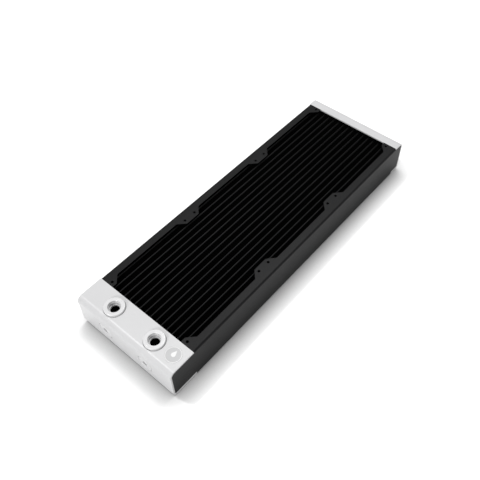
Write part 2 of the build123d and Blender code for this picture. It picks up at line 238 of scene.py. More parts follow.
def make_coat(name, tone, other_tone, worn_and_highlit_tone, roughness, spread, relief, shine=0.5, metal=0.0,
              fine=2600.0, wave=420.0, wear=0.6):
    """Finish with grain, slow tone change, worn edges and a painted edge highlight; relief is the bumps'
    height in metres.
    """
    material, tree, shader = start_material(name)
    grain = add_node(tree, "Group", node_tree=coat_grain)
    grain.inputs["Fine size"].default_value = fine
    grain.inputs["Wave size"].default_value = wave
    rubbed_and_highlit = add_node(tree, "Group", node_tree=edge_wear_and_highlight)
    rubbed_and_highlit.inputs["Amount"].default_value = wear
    clouded = mix_colours(tree, grain.outputs["Cloud"], tone, other_tone)
    # The lighter edge tone paints worn paint and a painted highlight along the edges.
    colour = mix_colours(tree, rubbed_and_highlit.outputs["Mask"], clouded, worn_and_highlit_tone)
    tree.links.new(colour, shader.inputs["Base Color"])
    gloss = stretch(tree, grain.outputs["Fleck"], 0.3, 0.7, roughness - spread, roughness + spread)
    tree.links.new(gloss, shader.inputs["Roughness"])
    bump = add_node(tree, "Bump", {"Height": grain.outputs["Height"], "Distance": relief})
    tree.links.new(bump.outputs[0], shader.inputs["Normal"])
    shader.inputs["Specular IOR Level"].default_value = shine
    shader.inputs["Metallic"].default_value = metal
    return material


print("a coat is built on:", coat_grain.name, "and", edge_wear_and_highlight.name)

# %% [markdown]
# ### The nine finishes
# The side panels wear a satin black powder coat. The core is only misted with thin black spray, so the brass
# of the tubes' edges and the copper of the fins lie just under it and it is duller. The covers are baked
# satin white; the turned ports and plugs are smoother, because paint flows better on machined metal.

# %% Finishes
# Each third tone is the edge tone, lighter than the coat: worn paint and a painted edge highlight.
finishes = {
    "panel_black": make_coat(
        "Satin black powder coat", (0.0043, 0.0043, 0.0046), (0.0062, 0.0063, 0.0066), (0.035, 0.035, 0.037),
        roughness=0.46, spread=0.07, relief=0.000035, shine=0.13,
    ),
    "fin_paint": make_coat(
        "Thin black spray on fins", (0.0006, 0.0006, 0.0006), (0.001, 0.001, 0.001), (0.005, 0.004, 0.004),
        roughness=0.8, spread=0.08, relief=0.00001, shine=0.05, fine=5200.0, wear=0.15,
    ),
    "tube_paint": make_coat(
        "Black spray on tubes", (0.0015, 0.0015, 0.0017), (0.0022, 0.0022, 0.0024), (0.01, 0.009, 0.008),
        roughness=0.4, spread=0.08, relief=0.00002, shine=0.1, wear=0.2,
    ),
    "tank_brass": make_coat(
        "Drawn brass sheet", (0.62, 0.43, 0.17), (0.5, 0.33, 0.13), (0.72, 0.56, 0.3),
        roughness=0.36, spread=0.1, relief=0.00001, metal=1.0, fine=3400.0,
    ),
    "cover_white": make_coat(
        "Baked satin white", (0.485, 0.485, 0.49), (0.465, 0.465, 0.47), (0.84, 0.84, 0.845),
        roughness=0.34, spread=0.06, relief=0.00002, wear=0.9,
    ),
    "port_white": make_coat(
        "Smooth white on turned metal", (0.55, 0.55, 0.555), (0.53, 0.53, 0.535), (0.84, 0.84, 0.845),
        roughness=0.24, spread=0.04, relief=0.000006, wear=0.5,
    ),
    "plug_white": make_coat(
        "Smooth white on plugs", (0.53, 0.53, 0.535), (0.51, 0.51, 0.515), (0.82, 0.82, 0.825),
        roughness=0.3, spread=0.05, relief=0.000008, wear=0.5,
    ),
    "badge_grey": make_coat(
        "Pale satin badge", (0.4, 0.4, 0.405), (0.38, 0.38, 0.385), (0.75, 0.75, 0.76),
        roughness=0.36, spread=0.06, relief=0.000008, fine=4200.0, wear=0.3,
    ),
    "seal_rubber": make_coat(
        "Matt black rubber", (0.014, 0.014, 0.014), (0.022, 0.022, 0.022), (0.05, 0.05, 0.05),
        roughness=0.75, spread=0.1, relief=0.00001, shine=0.3, fine=3800.0, wear=0.2,
    ),
}
print("finishes:", ", ".join(material.name for material in finishes.values()))

# %% [markdown]
# ### White relief on the badge
# The badge's rim and mark are rolled with white after the field is painted, so only what stands high takes
# it. The badge's own Z height is the mask: white above a tenth of a millimetre below its top. A second
# material on the raised faces would do too, but a height needs no list of faces.

# %% White relief
def whiten_relief(material, tone):
    """Give the highest tenth of a millimetre of a piece another tone."""
    tree = material.node_tree
    colour_in = tree.nodes["Principled BSDF"].inputs["Base Color"]
    field = colour_in.links[0].from_socket
    place = add_node(tree, "TexCoord").outputs["Object"]
    height = add_node(tree, "SeparateXYZ", {0: place}).outputs["Z"]
    raised = stretch(tree, height, -0.00011, -0.00004)
    tree.links.new(mix_colours(tree, raised, field, tone), colour_in)


whiten_relief(finishes["badge_grey"], (0.62, 0.62, 0.62))
print("the badge's relief is white")

# %% [markdown]
# ## From mesh to piece
# Every piece takes the same last steps: scale to metres, shade smooth, weigh the normals by the size of the
# faces so that flats stay flat, take a finish, and ride on a body of the frame. Pieces that are alike, such
# as the sixteen tubes, share one mesh and differ only in where their object stands.

# %% Piece helpers
def as_mesh(name, drawing):
    """Mesh in metres from a drawing in millimetres, smooth all over."""
    bmesh.ops.recalc_face_normals(drawing, faces=drawing.faces)
    drawing.transform(Matrix.Scale(mm, 4))
    mesh = bpy.data.meshes.new(name)
    drawing.to_mesh(mesh)
    drawing.free()
    mesh.shade_smooth()
    return mesh


def add_object(name, data):
    """New object in the scene."""
    made = bpy.data.objects.new(name, data)
    bpy.context.scene.collection.objects.link(made)
    return made


def place_piece(name, mesh, finish, stands_for, body="radiator", at=Matrix.Identity(4)):
    """Object of a mesh that rides on a body and stands for one CAD node."""
    piece = add_object(name, mesh)
    piece.matrix_world = at
    if not mesh.materials:
        mesh.materials.append(finishes[finish])
    piece.modifiers.new("Flats stay flat", "WEIGHTED_NORMAL").weight = 80
    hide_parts(stands_for)
    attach(piece, body)
    return piece


def shift(x=0.0, y=0.0, z=0.0):
    """Matrix that moves by millimetres."""
    return Matrix.Translation(Vector((x, y, z)) * mm)


print("a shift of 10 mm is", round(shift(x=10.0).translation.x, 4), "m in the scene")

# %% [markdown]
# ## Folded sheet
# Both covers and both side panels are sheet metal: cut flat, then folded. The mesh is made the same way.
# A flat blank is drawn with its holes and cut into strips across each bend, and then every point is
# carried round the bends by a formula. A cube with bevelled edges would be quicker, but it can't have the
# same thickness everywhere, or holes that stay round, or tabs that run into a bend.

# %% Outlines
def rounded_outline(corners, steps=6):
    """Closed outline from corners (x, y, radius), each corner with a radius turned into an arc."""
    points = []
    for index, (x, y, radius) in enumerate(corners):
        here = Vector((x, y))
        if radius == 0:
            points.append(here)
            continue
        back = (Vector(corners[index - 1][:2]) - here).normalized()
        ahead = (Vector(corners[(index + 1) % len(corners)][:2]) - here).normalized()
        half_angle = back.angle(ahead) / 2
        centre = here + (back + ahead).normalized() * (radius / math.sin(half_angle))
        first = here + back * (radius / math.tan(half_angle)) - centre
        last = here + ahead * (radius / math.tan(half_angle)) - centre
        start = math.atan2(first.y, first.x)
        turn = (math.atan2(last.y, last.x) - start + math.pi) % math.tau - math.pi
        for step in range(steps + 1):
            angle = start + turn * step / steps
            points.append(centre + Vector((math.cos(angle), math.sin(angle))) * radius)
    return points


def circle(x, y, radius, steps=64):
    """Round outline, anticlockwise."""
    angles = [math.tau * step / steps for step in range(steps)]
    return [Vector((x + radius * math.cos(angle), y + radius * math.sin(angle))) for angle in angles]


def offset_outline(points, distance):
    """Outline moved to the left of its travel by a distance."""
    moved = []
    for index, here in enumerate(points):
        before = (here - points[index - 1]).normalized()
        after = (points[(index + 1) % len(points)] - here).normalized()
        both = Vector((-before.y, before.x)) + Vector((-after.y, after.x))
        moved.append(here + both * (2 * distance / both.length_squared))
    return moved


print("points on a 6.6 mm hole's outline:", len(circle(0, 0, 6.6)))

# %% [markdown]
# ### Blanks
# A blank is the sheet as it leaves the punch: one flat face with holes. Triangle fill closes the face
# between outline and holes, and a plane then cuts the strips across each bend. A grid would have to miss
# every hole.

# %% Blanks
def make_blank(outline, holes=(), cuts_x=(), cuts_y=()):
    """Flat face with holes, cut into strips along the given lines."""
    blank = bmesh.new()
    edges = []
    for loop in (outline, *holes):
        corners = [blank.verts.new((x, y, 0)) for x, y in loop]
        edges += [blank.edges.new(pair) for pair in zip(corners, corners[1:] + corners[:1])]
    bmesh.ops.triangle_fill(blank, use_beauty=True, edges=edges)
    for normal, places in ((Vector((1, 0, 0)), cuts_x), (Vector((0, 1, 0)), cuts_y)):
        for where in places:
            everything = blank.verts[:] + blank.edges[:] + blank.faces[:]
            place = normal * where
            bmesh.ops.bisect_plane(blank, geom=everything, dist=1e-4, plane_co=place, plane_no=normal)
    return blank


trial = make_blank(circle(0, 0, 20, 4), [circle(0, 0, 5)])
print("a square blank with one round hole is filled with", len(trial.faces), "faces")
trial.free()

# %% [markdown]
# ### Round the bends
# A length along the blank becomes a place on the folded strip: straight along each run, round an arc at
# each bend. The outer face is the measured one, and a point inside the sheet is moved inward from it. A
# modifier that bends a finished thick mesh would squeeze its inner face.

# %% Folds
def folded(length, runs, radius, inset):
    """Place (along, down) on a folded strip after a length of its outer face, moved inward by an inset."""
    corner = Vector((0.0, 0.0))
    angle = 0.0
    for index, run in enumerate(runs):
        ahead = Vector((math.cos(angle), math.sin(angle)))
        inward = Vector((-math.sin(angle), math.cos(angle)))
        if length <= run or index == len(runs) - 1:
            return corner + ahead * length + inward * inset
        centre = corner + ahead * run + inward * radius
        length -= run
        turn = min(length / radius, math.pi / 2)
        turned_inward = Vector((-math.sin(angle + turn), math.cos(angle + turn)))
        if length < radius * math.pi / 2:
            return centre - turned_inward * (radius - inset)
        length -= radius * math.pi / 2
        angle += math.pi / 2
        corner = centre - turned_inward * radius


def bend_lines(runs, radius, steps=8):
    """Lengths at which a blank is cut so that its bends come out round."""
    arc = radius * math.pi / 2
    starts = [sum(runs[: index + 1]) + arc * index for index in range(len(runs) - 1)]
    return [start + arc * step / steps for start in starts for step in range(steps + 1)]


print("one bend of 2.6 mm takes", round(bend_lines([0, 0], 2.6)[-1], 2), "mm of blank")

# %% [markdown]
# ### From blank to sheet
# The blank gives the outer and the inner face. Between them the cut edge is rounded, as a coat leaves it:
# its points are pushed out in rows that follow a quarter circle. A bevel modifier would also catch the
# small faces in a bend.

# %% Sheets
def cut_edge_directions(blank):
    """Direction in the blank's plane, away from the metal, at each point of its cut edges."""
    directions = {}
    for point in blank.verts:
        rims = [edge for edge in point.link_edges if edge.is_boundary]
        both = Vector((0, 0, 0))
        for rim in rims:
            along = (rim.other_vert(point).co - point.co).normalized()
            away = Vector((along.y, -along.x, 0))
            inside = rim.link_faces[0].calc_center_median() - point.co
            both += -away if away.dot(inside) > 0 else away
        if rims:
            directions[point] = both * (2 / both.length_squared)
    return directions


def fold_sheet(blank, runs, radius, thickness, softness, place, steps=3):
    """Closed sheet from a blank that is smaller by softness all round; softness rounds its cut edges."""
    quarter = [math.pi / 2 * step / steps for step in range(steps + 1)]
    rows = [(softness * math.sin(angle), softness * (1 - math.cos(angle))) for angle in quarter]
    rows += [(push, thickness - depth) for push, depth in reversed(rows)]
    directions = cut_edge_directions(blank)
    sheet = bmesh.new()
    layers = []
    for push, depth in rows:
        layer = {}
        for point in blank.verts if depth in (0, thickness) else directions:
            spot = point.co + directions.get(point, Vector()) * push
            layer[point] = sheet.verts.new(place(spot.x, folded(spot.y, runs, radius, depth)))
        layers.append(layer)
    for face in blank.faces:
        corners = list(face.verts)
        sheet.faces.new([layers[0][point] for point in corners])
        sheet.faces.new([layers[-1][point] for point in reversed(corners)])
    for edge in blank.edges:
        if edge.is_boundary:
            a, b = edge.verts
            for upper, lower in zip(layers, layers[1:]):
                sheet.faces.new((upper[a], upper[b], lower[b], lower[a]))
    blank.free()
    return sheet


def thicken(blank, thickness, softness, place):
    """Closed flat plate from a blank: a sheet with no bend."""
    return fold_sheet(blank, [0.0], 0.0, thickness, softness, place)


def add_drawing(target, extra):
    """Moves the faces of one drawing into another."""
    carrier = bpy.data.meshes.new("carrier")
    extra.to_mesh(carrier)
    extra.free()
    target.from_mesh(carrier)
    bpy.data.meshes.remove(carrier)


print("sheet helpers: fold_sheet, thicken, add_drawing")

# %% [markdown]
# ## End covers
# Each cover is a U of 2 mm white sheet over a tank. The front one has three pairs of round openings: ports
# with a low collar on top, and stop plugs in its end and underside. A low lip along each side of the
# underside carries the side panel's wall. The lip is a strip of its own, welded on, so it is drawn as a
# second flat shape. Folding it from the same blank would need a bend that crosses the other bends.

# %% Cover sizes
cover_sheet = 2.0
cover_bend = cover_sheet + 4.6  # outside of the bend
cover_softness = 0.3
lip_height = 4.6
panel_sheet = 1.0
collar_radius = radius_of("top_left_port")
raised_opening = collar_radius + 0.2
flush_opening = radius_of("front_left_plug") + 0.35
badge_centre = centre_of("badge")
badge_radius = radius_of("badge")
lip_weld = 0.5  # how far the lip reaches over the sheet's edge
lip_hair = 0.02  # keeps the lip's rim just under the sheet's face
lip_inset = 0.1  # keeps the lip's arc inside the sheet's bend
every_10_mm = [10.0 * step for step in range(-20, 21)]
print("bend outside:", round(cover_bend, 2), "mm; opening round a collar:", round(raised_opening, 2), "mm")


# %% Covers
def make_cover(edge_y, end_y, holes):
    """Folded cover from its inner edge to its closed end; holes are (x, length along the blank, radius)."""
    outward = math.copysign(1, end_y - edge_y)
    flat_run = abs(end_y - edge_y) - cover_bend
    runs = [flat_run, top_z - 2 * cover_bend, flat_run]
    arc = cover_bend * math.pi / 2
    total = sum(runs) + 2 * arc
    lip_start = runs[0] + runs[1] + arc
    narrow = half_width - lip_weld
    corners = [
        (-half_width, 0, 0), (half_width, 0, 0), (half_width, lip_start, 0), (narrow, lip_start, 0),
        (narrow, total, 0), (-narrow, total, 0), (-narrow, lip_start, 0), (-half_width, lip_start, 0),
    ]
    outline = offset_outline(rounded_outline(corners), cover_softness)
    loops = [offset_outline(circle(x, y, radius), -cover_softness) for x, y, radius in holes]
    blank = make_blank(outline, loops, cuts_x=every_10_mm[::2], cuts_y=bend_lines(runs, cover_bend))

    def place(x, spot):
        return (x, edge_y + outward * spot.x, top_z - spot.y)

    sheet = fold_sheet(blank, runs, cover_bend, cover_sheet, cover_softness, place)
    for side in (-1, 1):
        add_lip(sheet, side, edge_y, end_y)
    return sheet


def add_lip(sheet, side, edge_y, end_y):
    """Adds the upright strip along one side of a cover's underside."""
    reach = abs(end_y - edge_y) - lip_hair
    outward = math.copysign(1, end_y - edge_y)
    bend = cover_bend - lip_hair - lip_inset
    last_angle = math.acos(1 - (lip_height - lip_hair) / bend)
    drawn = [Vector((0, lip_height)), Vector((0, lip_hair))]
    steps = 10
    for step in range(steps + 1):
        angle = last_angle * step / steps
        forward = reach - bend + bend * math.sin(angle)
        drawn.append(Vector((forward, lip_hair + bend * (1 - math.cos(angle)))))
    outline = offset_outline(drawn, cover_softness)

    def place(length, spot):
        return (side * (half_width - spot.y), edge_y + outward * length, spot.x)

    add_drawing(sheet, thicken(make_blank(outline), panel_sheet, cover_softness, place))


front_run = front_edge_y - nose_y - cover_bend
end_start = front_run + cover_bend * math.pi / 2
blank_total = 2 * end_start + top_z - 2 * cover_bend
front_holes = []
for side in ("left", "right"):
    top_port = centre_of(f"top_{side}_port")
    end_plug = centre_of(f"front_{side}_plug")
    low_plug = centre_of(f"bottom_{side}_plug")
    front_holes.append((top_port.x, front_edge_y - top_port.y, raised_opening))
    front_holes.append((end_plug.x, end_start + top_z - cover_bend - end_plug.z, flush_opening))
    front_holes.append((low_plug.x, blank_total - (front_edge_y - low_plug.y), flush_opening))
front_holes.append((badge_centre.x, front_edge_y - badge_centre.y, badge_radius + fit_gap))

front_mesh = as_mesh("front cover", make_cover(front_edge_y, nose_y, front_holes))
rear_mesh = as_mesh("rear cover", make_cover(rear_edge_y, tail_y, []))
place_piece("front_cover_sheet", front_mesh, "cover_white", "front_cover")
place_piece("rear_cover_sheet", rear_mesh, "cover_white", "rear_cover")
print("front cover:", len(front_mesh.polygons), "faces; rear cover:", len(rear_mesh.polygons), "faces")

# %% [markdown]
# ## Side panels
# One piece of 1 mm sheet makes a whole side: the upper flange with its screw tabs, the wall, and the lower
# flange with the same tabs. Beyond the flanges the wall runs on as a plain tongue between the covers' plates.
# The tabs slope back to the flange at 45 degrees, so that as little air as possible is blocked. The outline
# is listed as corners with a radius each. Cutting the tabs out with booleans would leave the bends ragged.

# %% Side panel sizes
panel_bend = panel_sheet + 1.6  # outside of the bend
panel_softness = 0.22
flange_width = 9.25
hole_to_tab_edge = 4.8
tab_edge_x = fan_hole_reach - hole_to_tab_edge
tab_end = fan_hole_reach - 1.7  # from a fan's centre to the end of a tab's straight edge
slope_end = tab_end - 8.2  # from a fan's centre to where the slope meets the flange
tab_corner = 2.5
tongue_corner = 2.0
tongue_kink = 0.3  # rounding where the tongue's lower edge leaves the cover's bend
print("tabs reach in to x =", round(tab_edge_x, 2), "mm; flanges are", flange_width, "mm wide")


# %% Side panels
def flange_edge(total, upper):
    """Inner edge of one flange, from the port end to the far end, as corners (y, length, radius)."""
    tip = 0 if upper else total
    flange = half_width - flange_width - tab_edge_x
    flange = flange if upper else total - flange
    corners = [(front_edge_y + fit_gap, tip, 0)]
    for centre in fan_centres:
        for reach, length in ((-tab_end, tip), (-slope_end, flange), (slope_end, flange), (tab_end, tip)):
            corners.append((centre + reach, length, tab_corner))
    corners.append((rear_edge_y - fit_gap, tip, 0))
    return corners


def make_side_panel(side):
    """Folded panel; side is -1 on the left and 1 on the right."""
    flange_run = half_width - tab_edge_x - panel_bend
    runs = [flange_run, top_z - 2 * panel_bend, flange_run]
    arc = panel_bend * math.pi / 2
    total = sum(runs) + 2 * arc
    tongue_top = runs[0] + arc + cover_sheet + fit_gap - panel_bend
    tongue_low = runs[0] + arc + top_z - panel_bend - lip_height - fit_gap
    tongue_front = nose_y + cover_sheet + fit_gap
    tongue_rear = tail_y - cover_sheet - fit_gap
    inside_bend = cover_bend - cover_sheet
    below = cover_bend - lip_height  # the wall still follows the bend this far under the end of its flat
    lead = inside_bend - math.sqrt(inside_bend**2 - below**2) + fit_gap

    def tongue(edge_y, end_y, inward):
        """Corners of one tongue, from its upper edge round its end to its lower edge."""
        return [
            (edge_y + inward * fit_gap, tongue_top, 0), (end_y, tongue_top, inside_bend),
            (end_y, tongue_low - below, tongue_corner), (end_y + inward * lead, tongue_low, tongue_kink),
            (edge_y + inward * fit_gap, tongue_low, 0),
        ]

    corners = flange_edge(total, True) + tongue(rear_edge_y, tongue_rear, -1)
    corners += flange_edge(total, False)[::-1] + tongue(front_edge_y, tongue_front, 1)[::-1]
    outline = offset_outline(rounded_outline(corners), panel_softness)
    loops = []
    for centre in fan_centres:
        for y in (centre - fan_hole_reach, centre + fan_hole_reach):
            for length in (hole_to_tab_edge, total - hole_to_tab_edge):
                loops.append(offset_outline(circle(y, length, fan_hole_radius, steps=32), -panel_softness))
    blank = make_blank(outline, loops, cuts_x=every_10_mm, cuts_y=bend_lines(runs, panel_bend))

    def place(y, spot):
        return (side * (tab_edge_x + spot.x), y, top_z - spot.y)

    return fold_sheet(blank, runs, panel_bend, panel_sheet, panel_softness, place)


for side, name in ((-1, "left"), (1, "right")):
    panel_mesh = as_mesh(f"{name} side panel", make_side_panel(side))
    place_piece(f"{name}_panel_sheet", panel_mesh, "panel_black", f"{name}_side_panel")
print("side panel:", len(panel_mesh.polygons), "faces")

# %% [markdown]
# ## Flat tubes
# The coolant runs in sixteen flat brass tubes. A tube is drawn from a strip: two flats, two round edges, and
# a web inside that stops the flats from blowing apart. Its section is drawn once and pulled along the core.
# A solid bar would look the same from above, but a cut through the part would give it away.

# %% Tubes
def pull(outline, holes, start_y, end_y):
    """Bar along Y with a section of (x, z) and open bores."""
    ends = make_blank(outline, holes)
    bar = bmesh.new()
    sides = [{p: bar.verts.new((p.co.x, y, p.co.y)) for p in ends.verts} for y in (start_y, end_y)]
    for face in ends.faces:
        bar.faces.new([sides[0][point] for point in face.verts])
        bar.faces.new([sides[1][point] for point in face.verts])
    for edge in ends.edges:
        if edge.is_boundary:
            a, b = edge.verts
            bar.faces.new((sides[0][a], sides[0][b], sides[1][b], sides[1][a]))
    ends.free()
    return bar


tube_low, tube_high = box("flat_tube_01")
tube_half_thickness = (tube_high.x - tube_low.x) / 2
tube_half_depth = (tube_high.z - tube_low.z) / 2
tube_wall = 0.2
round_slack = 0.001  # a full round is drawn this much smaller, so that its two arcs don't meet in one point
mid_z = top_z / 2


def make_tube():
    """Tube about x = 0 with two chambers beside its web."""
    outer = [
        (x * tube_half_thickness, z * tube_half_depth, tube_half_thickness - round_slack)
        for x, z in ((1, -1), (1, 1), (-1, 1), (-1, -1))
    ]
    inner_x = tube_half_thickness - tube_wall
    inner_z = tube_half_depth - tube_wall
    chambers = []
    for side in (-1, 1):
        corners = [(-inner_x, tube_wall / 2, 0), (inner_x, tube_wall / 2, 0)]
        corners += [(x, inner_z, inner_x - round_slack) for x in (inner_x, -inner_x)]
        chambers.append([Vector((p.x, side * p.y)) for p in rounded_outline(corners)])
    bar = pull(rounded_outline(outer, steps=8), chambers, tube_low.y, tube_high.y)
    bar.transform(Matrix.Translation((0, 0, mid_z)))
    return bar


tube_mesh = as_mesh("flat tube", make_tube())
tube_names = sorted(name for name in frame["nodes"] if name.startswith("flat_tube_"))
for name in tube_names:
    place_piece(f"{name}_drawn", tube_mesh, "tube_paint", name, at=shift(x=centre_of(name).x))
print(len(tube_names), "tubes of", len(tube_mesh.polygons), "faces")

# %% [markdown]
# ## Fins
# Between two tubes lies one long ribbon of copper foil, folded back and forth between gear-like rollers. The
# rollers leave a small round fold wherever the foil touches a tube, and the legs run nearly straight between
# two folds. The ribbon's path is a formula, and the foil is laid along it on both sides at once. Copies of
# one fold in an array would leave a seam at every join.

# %% Fins
fin_foil = 0.08
fin_fold_radius = 0.3
fin_fold_pitch = 1.5
fin_low, fin_high = box("fin_row_02")


def fin_path():
    """Points (x, y, heading) down the middle of the foil."""
    reach = (fin_high.x - fin_low.x - fin_foil) / 2 - fin_fold_radius
    length = fin_high.y - fin_low.y - 2 * fin_fold_radius
    folds = int(length / fin_fold_pitch)
    pitch = length / folds
    gap = math.hypot(2 * reach, pitch)
    lean = math.atan2(pitch, 2 * reach) - math.asin(2 * fin_fold_radius / gap)
    steps = 4
    path = []
    for fold in range(folds + 1):
        side = 1 if fold % 2 == 0 else -1
        y = fin_low.y + fin_fold_radius + fold * pitch
        for step in range(steps + 1):
            swing = lean + (math.pi - 2 * lean) * step / steps
            heading = swing if side > 0 else math.pi - swing
            x = side * (reach + fin_fold_radius * math.sin(swing))
            path.append((x, y - fin_fold_radius * math.cos(swing), heading))
    return path


def make_fin_row():
    """Ribbon about x = 0, as deep as the CAD row."""
    row = bmesh.new()
    previous = None
    for x, y, heading in fin_path():
        across = Vector((-math.sin(heading), math.cos(heading))) * (fin_foil / 2)
        ring = []
        for side, z in ((1, fin_low.z), (1, fin_high.z), (-1, fin_high.z), (-1, fin_low.z)):
            ring.append(row.verts.new((x + side * across.x, y + side * across.y, z)))
        if previous is None:
            row.faces.new(ring)
        else:
            for k in range(4):
                row.faces.new((previous[k], previous[(k + 1) % 4], ring[(k + 1) % 4], ring[k]))
        previous = ring
    row.faces.new(previous[::-1])
    return row


fin_mesh = as_mesh("fin row", make_fin_row())
fin_names = sorted(name for name in frame["nodes"] if name.startswith("fin_row_"))
for name in fin_names:
    place_piece(f"{name}_ribbon", fin_mesh, "fin_paint", name, at=shift(x=centre_of(name).x))
print(len(fin_names), "fin rows of", len(fin_mesh.polygons), "faces")

# %% [markdown]
# ## Turned pieces
# Ports, plugs and seals are made on a lathe or in a round mould. A profile of (radius, height) is swept round
# the port's axis. Where a radius isn't the same all round, the profile holds a function of the angle instead:
# that is how a hexagon socket and a screw thread come out of the same sweep. Blender's Screw modifier also
# sweeps a profile, but its radius can't change on the way round.

# %% Lathe
def turned(profile, closed, steps=96):
    """Swept profile; closed joins its end to its start, and otherwise it starts and ends on the axis."""
    part = bmesh.new()
    rings = []
    for radius, height in profile:
        if not callable(radius) and radius == 0:
            rings.append([part.verts.new((0, 0, height))] * steps)
            continue
        ring = []
        for step in range(steps):
            angle = math.tau * step / steps
            reach = radius(angle) if callable(radius) else radius
            ring.append(part.verts.new((reach * math.cos(angle), reach * math.sin(angle), height)))
        rings.append(ring)
    pairs = list(zip(rings, rings[1:] + rings[:1] if closed else rings[1:]))
    for upper, lower in pairs:
        for step in range(steps):
            follow = (step + 1) % steps
            corners = dict.fromkeys((upper[step], upper[follow], lower[follow], lower[step]))
            part.faces.new(list(corners))
    return part


def hexagon(across_flats):
    """Radius of a hexagon at an angle."""
    return lambda angle: across_flats / 2 / math.cos((angle + math.pi / 6) % (math.pi / 3) - math.pi / 6)


def soft_profile(corners, steps=3):
    """Closed profile from (radius, height, rounding)."""
    return [tuple(point) for point in rounded_outline(corners, steps)]


print("a 6 mm hexagon reaches", round(hexagon(6.0)(math.pi / 6), 2), "mm at its corners")

# %% [markdown]
# ### The thread
# G1/4 is a parallel pipe thread of 19 turns to the inch, so a turn climbs 1.337 mm. The surface climbs with
# the angle: the same wave is seen at every angle, but higher by a share of the pitch. The plug and the socket
# use one wave, a hair apart, so the plug can be screwed in and out without its thread cutting the socket's.
# A thread cut as a helix with booleans is slow and often leaves holes.

# %% Thread
thread_pitch = 1.337
thread_height = 0.6
thread_gap = 0.08
thread_crest = 1.7  # larger makes the crest broader
thread_flank = 4.37  # larger makes the flanks steeper
print("a turn climbs", thread_pitch, "mm, so 3.5 turns lift a plug by", round(3.5 * thread_pitch, 2), "mm")


def crest(height, angle):
    """How far up the thread's flank a point lies: 0 in the root and 1 on the crest of the plug's thread."""
    phase = (height / thread_pitch - angle / math.tau) % 1.0
    return min(1.0, max(0.0, thread_crest - thread_flank * abs(phase - 0.5)))


def thread_rows(first, last, surface, per_turn=14):
    """Profile rows from one height to another; surface gives the radius for a height, an angle and a fade."""
    count = round(abs(last - first) / thread_pitch * per_turn)
    rows = []
    for step in range(count + 1):
        height = first + (last - first) * step / count
        fade = min(1.0, 2.5 * min(abs(height - first), abs(height - last)) / thread_pitch)
        rows.append((lambda angle, height=height, fade=fade: surface(height, angle, fade), height))
    return rows


def socket_surface(height, angle, fade):
    """Radius of the socket's thread."""
    return thread_radius - thread_height * (1 - crest(height, angle)) * fade


def plug_surface(height, angle, fade):
    """Radius of the plug's thread."""
    return thread_radius - thread_gap - thread_height * (1 - crest(height, angle) * fade)


# %% [markdown]
# ### Where the mouths are
# A port's piece is turned about its own Z axis, with height 0 at the cover's face, and then stood at its
# mouth: upright on top, on its side in the end face, and upside down in the underside.

# %% Mouths
mouths = {}
for side in ("left", "right"):
    x, y = centre_of(f"top_{side}_port").xy
    mouths[f"top_{side}"] = shift(x, y, top_z)
    x, z = centre_of(f"front_{side}_plug").xz
    mouths[f"front_{side}"] = shift(x, nose_y, z) @ Matrix.Rotation(math.pi / 2, 4, "X")
    x, y = centre_of(f"bottom_{side}_plug").xy
    mouths[f"bottom_{side}"] = shift(x, y, 0) @ Matrix.Rotation(math.pi, 4, "X")
flush = [name for name in mouths if not name.startswith("top")]
print("mouths:", ", ".join(mouths))

# %% [markdown]
# ### Sockets
# The two open ports on top stand through the cover as low collars with rounded rims. Inside each is a
# threaded bore with a smaller hole in its floor. The four plugged ones lie under the cover and show only when
# a plug is out. Both kinds come from one profile with other numbers.

# %% Sockets
bore_depth = 5.0
socket_floor = 1.0
inner_hole = 4.8
spigot_radius = 9.0
spigot_length = 2.0
seat_depth = cover_sheet + 1.0
lead_in = 0.4
thread_start = 1.6  # from the sealing face to the thread's first flank
thread_stop = 0.3  # from the thread's last flank to the floor
same_radius = 0.03


def make_socket(face, flange_radius, rim, ring_step):
    """Socket with its face at a depth; rim rounds the face's edge, ring_step sinks a ring round the bore."""
    floor = face + bore_depth
    end = max(floor + socket_floor, seat_depth + spigot_length)
    mouth_radius = thread_radius + lead_in
    outside = [
        (inner_hole, -end, 0.2), (spigot_radius, -end, 0.3),
        (spigot_radius, -seat_depth, 0), (flange_radius, -seat_depth, 0.1), (flange_radius, -face, rim),
        (mouth_radius + 1.3, -face, 0.15), (mouth_radius + 1.1, -face - ring_step, 0.1),
        (mouth_radius, -face - ring_step, 0.1), (thread_radius, -face - lead_in - ring_step, 0.1),
        (thread_radius, -floor, 0.2), (inner_hole, -floor, 0.3),
    ]
    profile = soft_profile(outside, steps=5)
    last_above = next(i for i, point in enumerate(profile) if abs(point[0] - thread_radius) < same_radius)
    while profile[last_above + 1][1] > -face - bore_depth / 2:
        last_above += 1
    rows = thread_rows(-face - thread_start - ring_step, -floor + thread_stop, socket_surface)
    return turned(profile[: last_above + 1] + rows + profile[last_above + 1 :], closed=True)


collar_face = top_z - box("top_left_port")[1].z
flush_flange = radius_of("front_left_port")
raised_socket = make_socket(collar_face, collar_radius, rim=1.0, ring_step=0.12)
flush_socket = make_socket(cover_sheet, flush_flange, rim=0.35, ring_step=0.0)
raised_mesh = as_mesh("raised socket", raised_socket)
flush_mesh = as_mesh("flush socket", flush_socket)
for name, mouth in mouths.items():
    socket_mesh = flush_mesh if name in flush else raised_mesh
    place_piece(f"{name}_socket", socket_mesh, "port_white", f"{name}_port", at=mouth)
print("sockets:", len(raised_mesh.polygons), "and", len(flush_mesh.polygons), "faces")

# %% [markdown]
# ### Stop plugs and their seals
# A stop plug closes each port that isn't in use. Its flat head has a hexagon socket for a 6 mm key and
# carries a rubber ring in a groove under its rim. The key's mouth has a small lead-in, and the floor of the
# hole is the cone that the drill left. The whole plug is one sweep, so nothing has to be cut out of it.

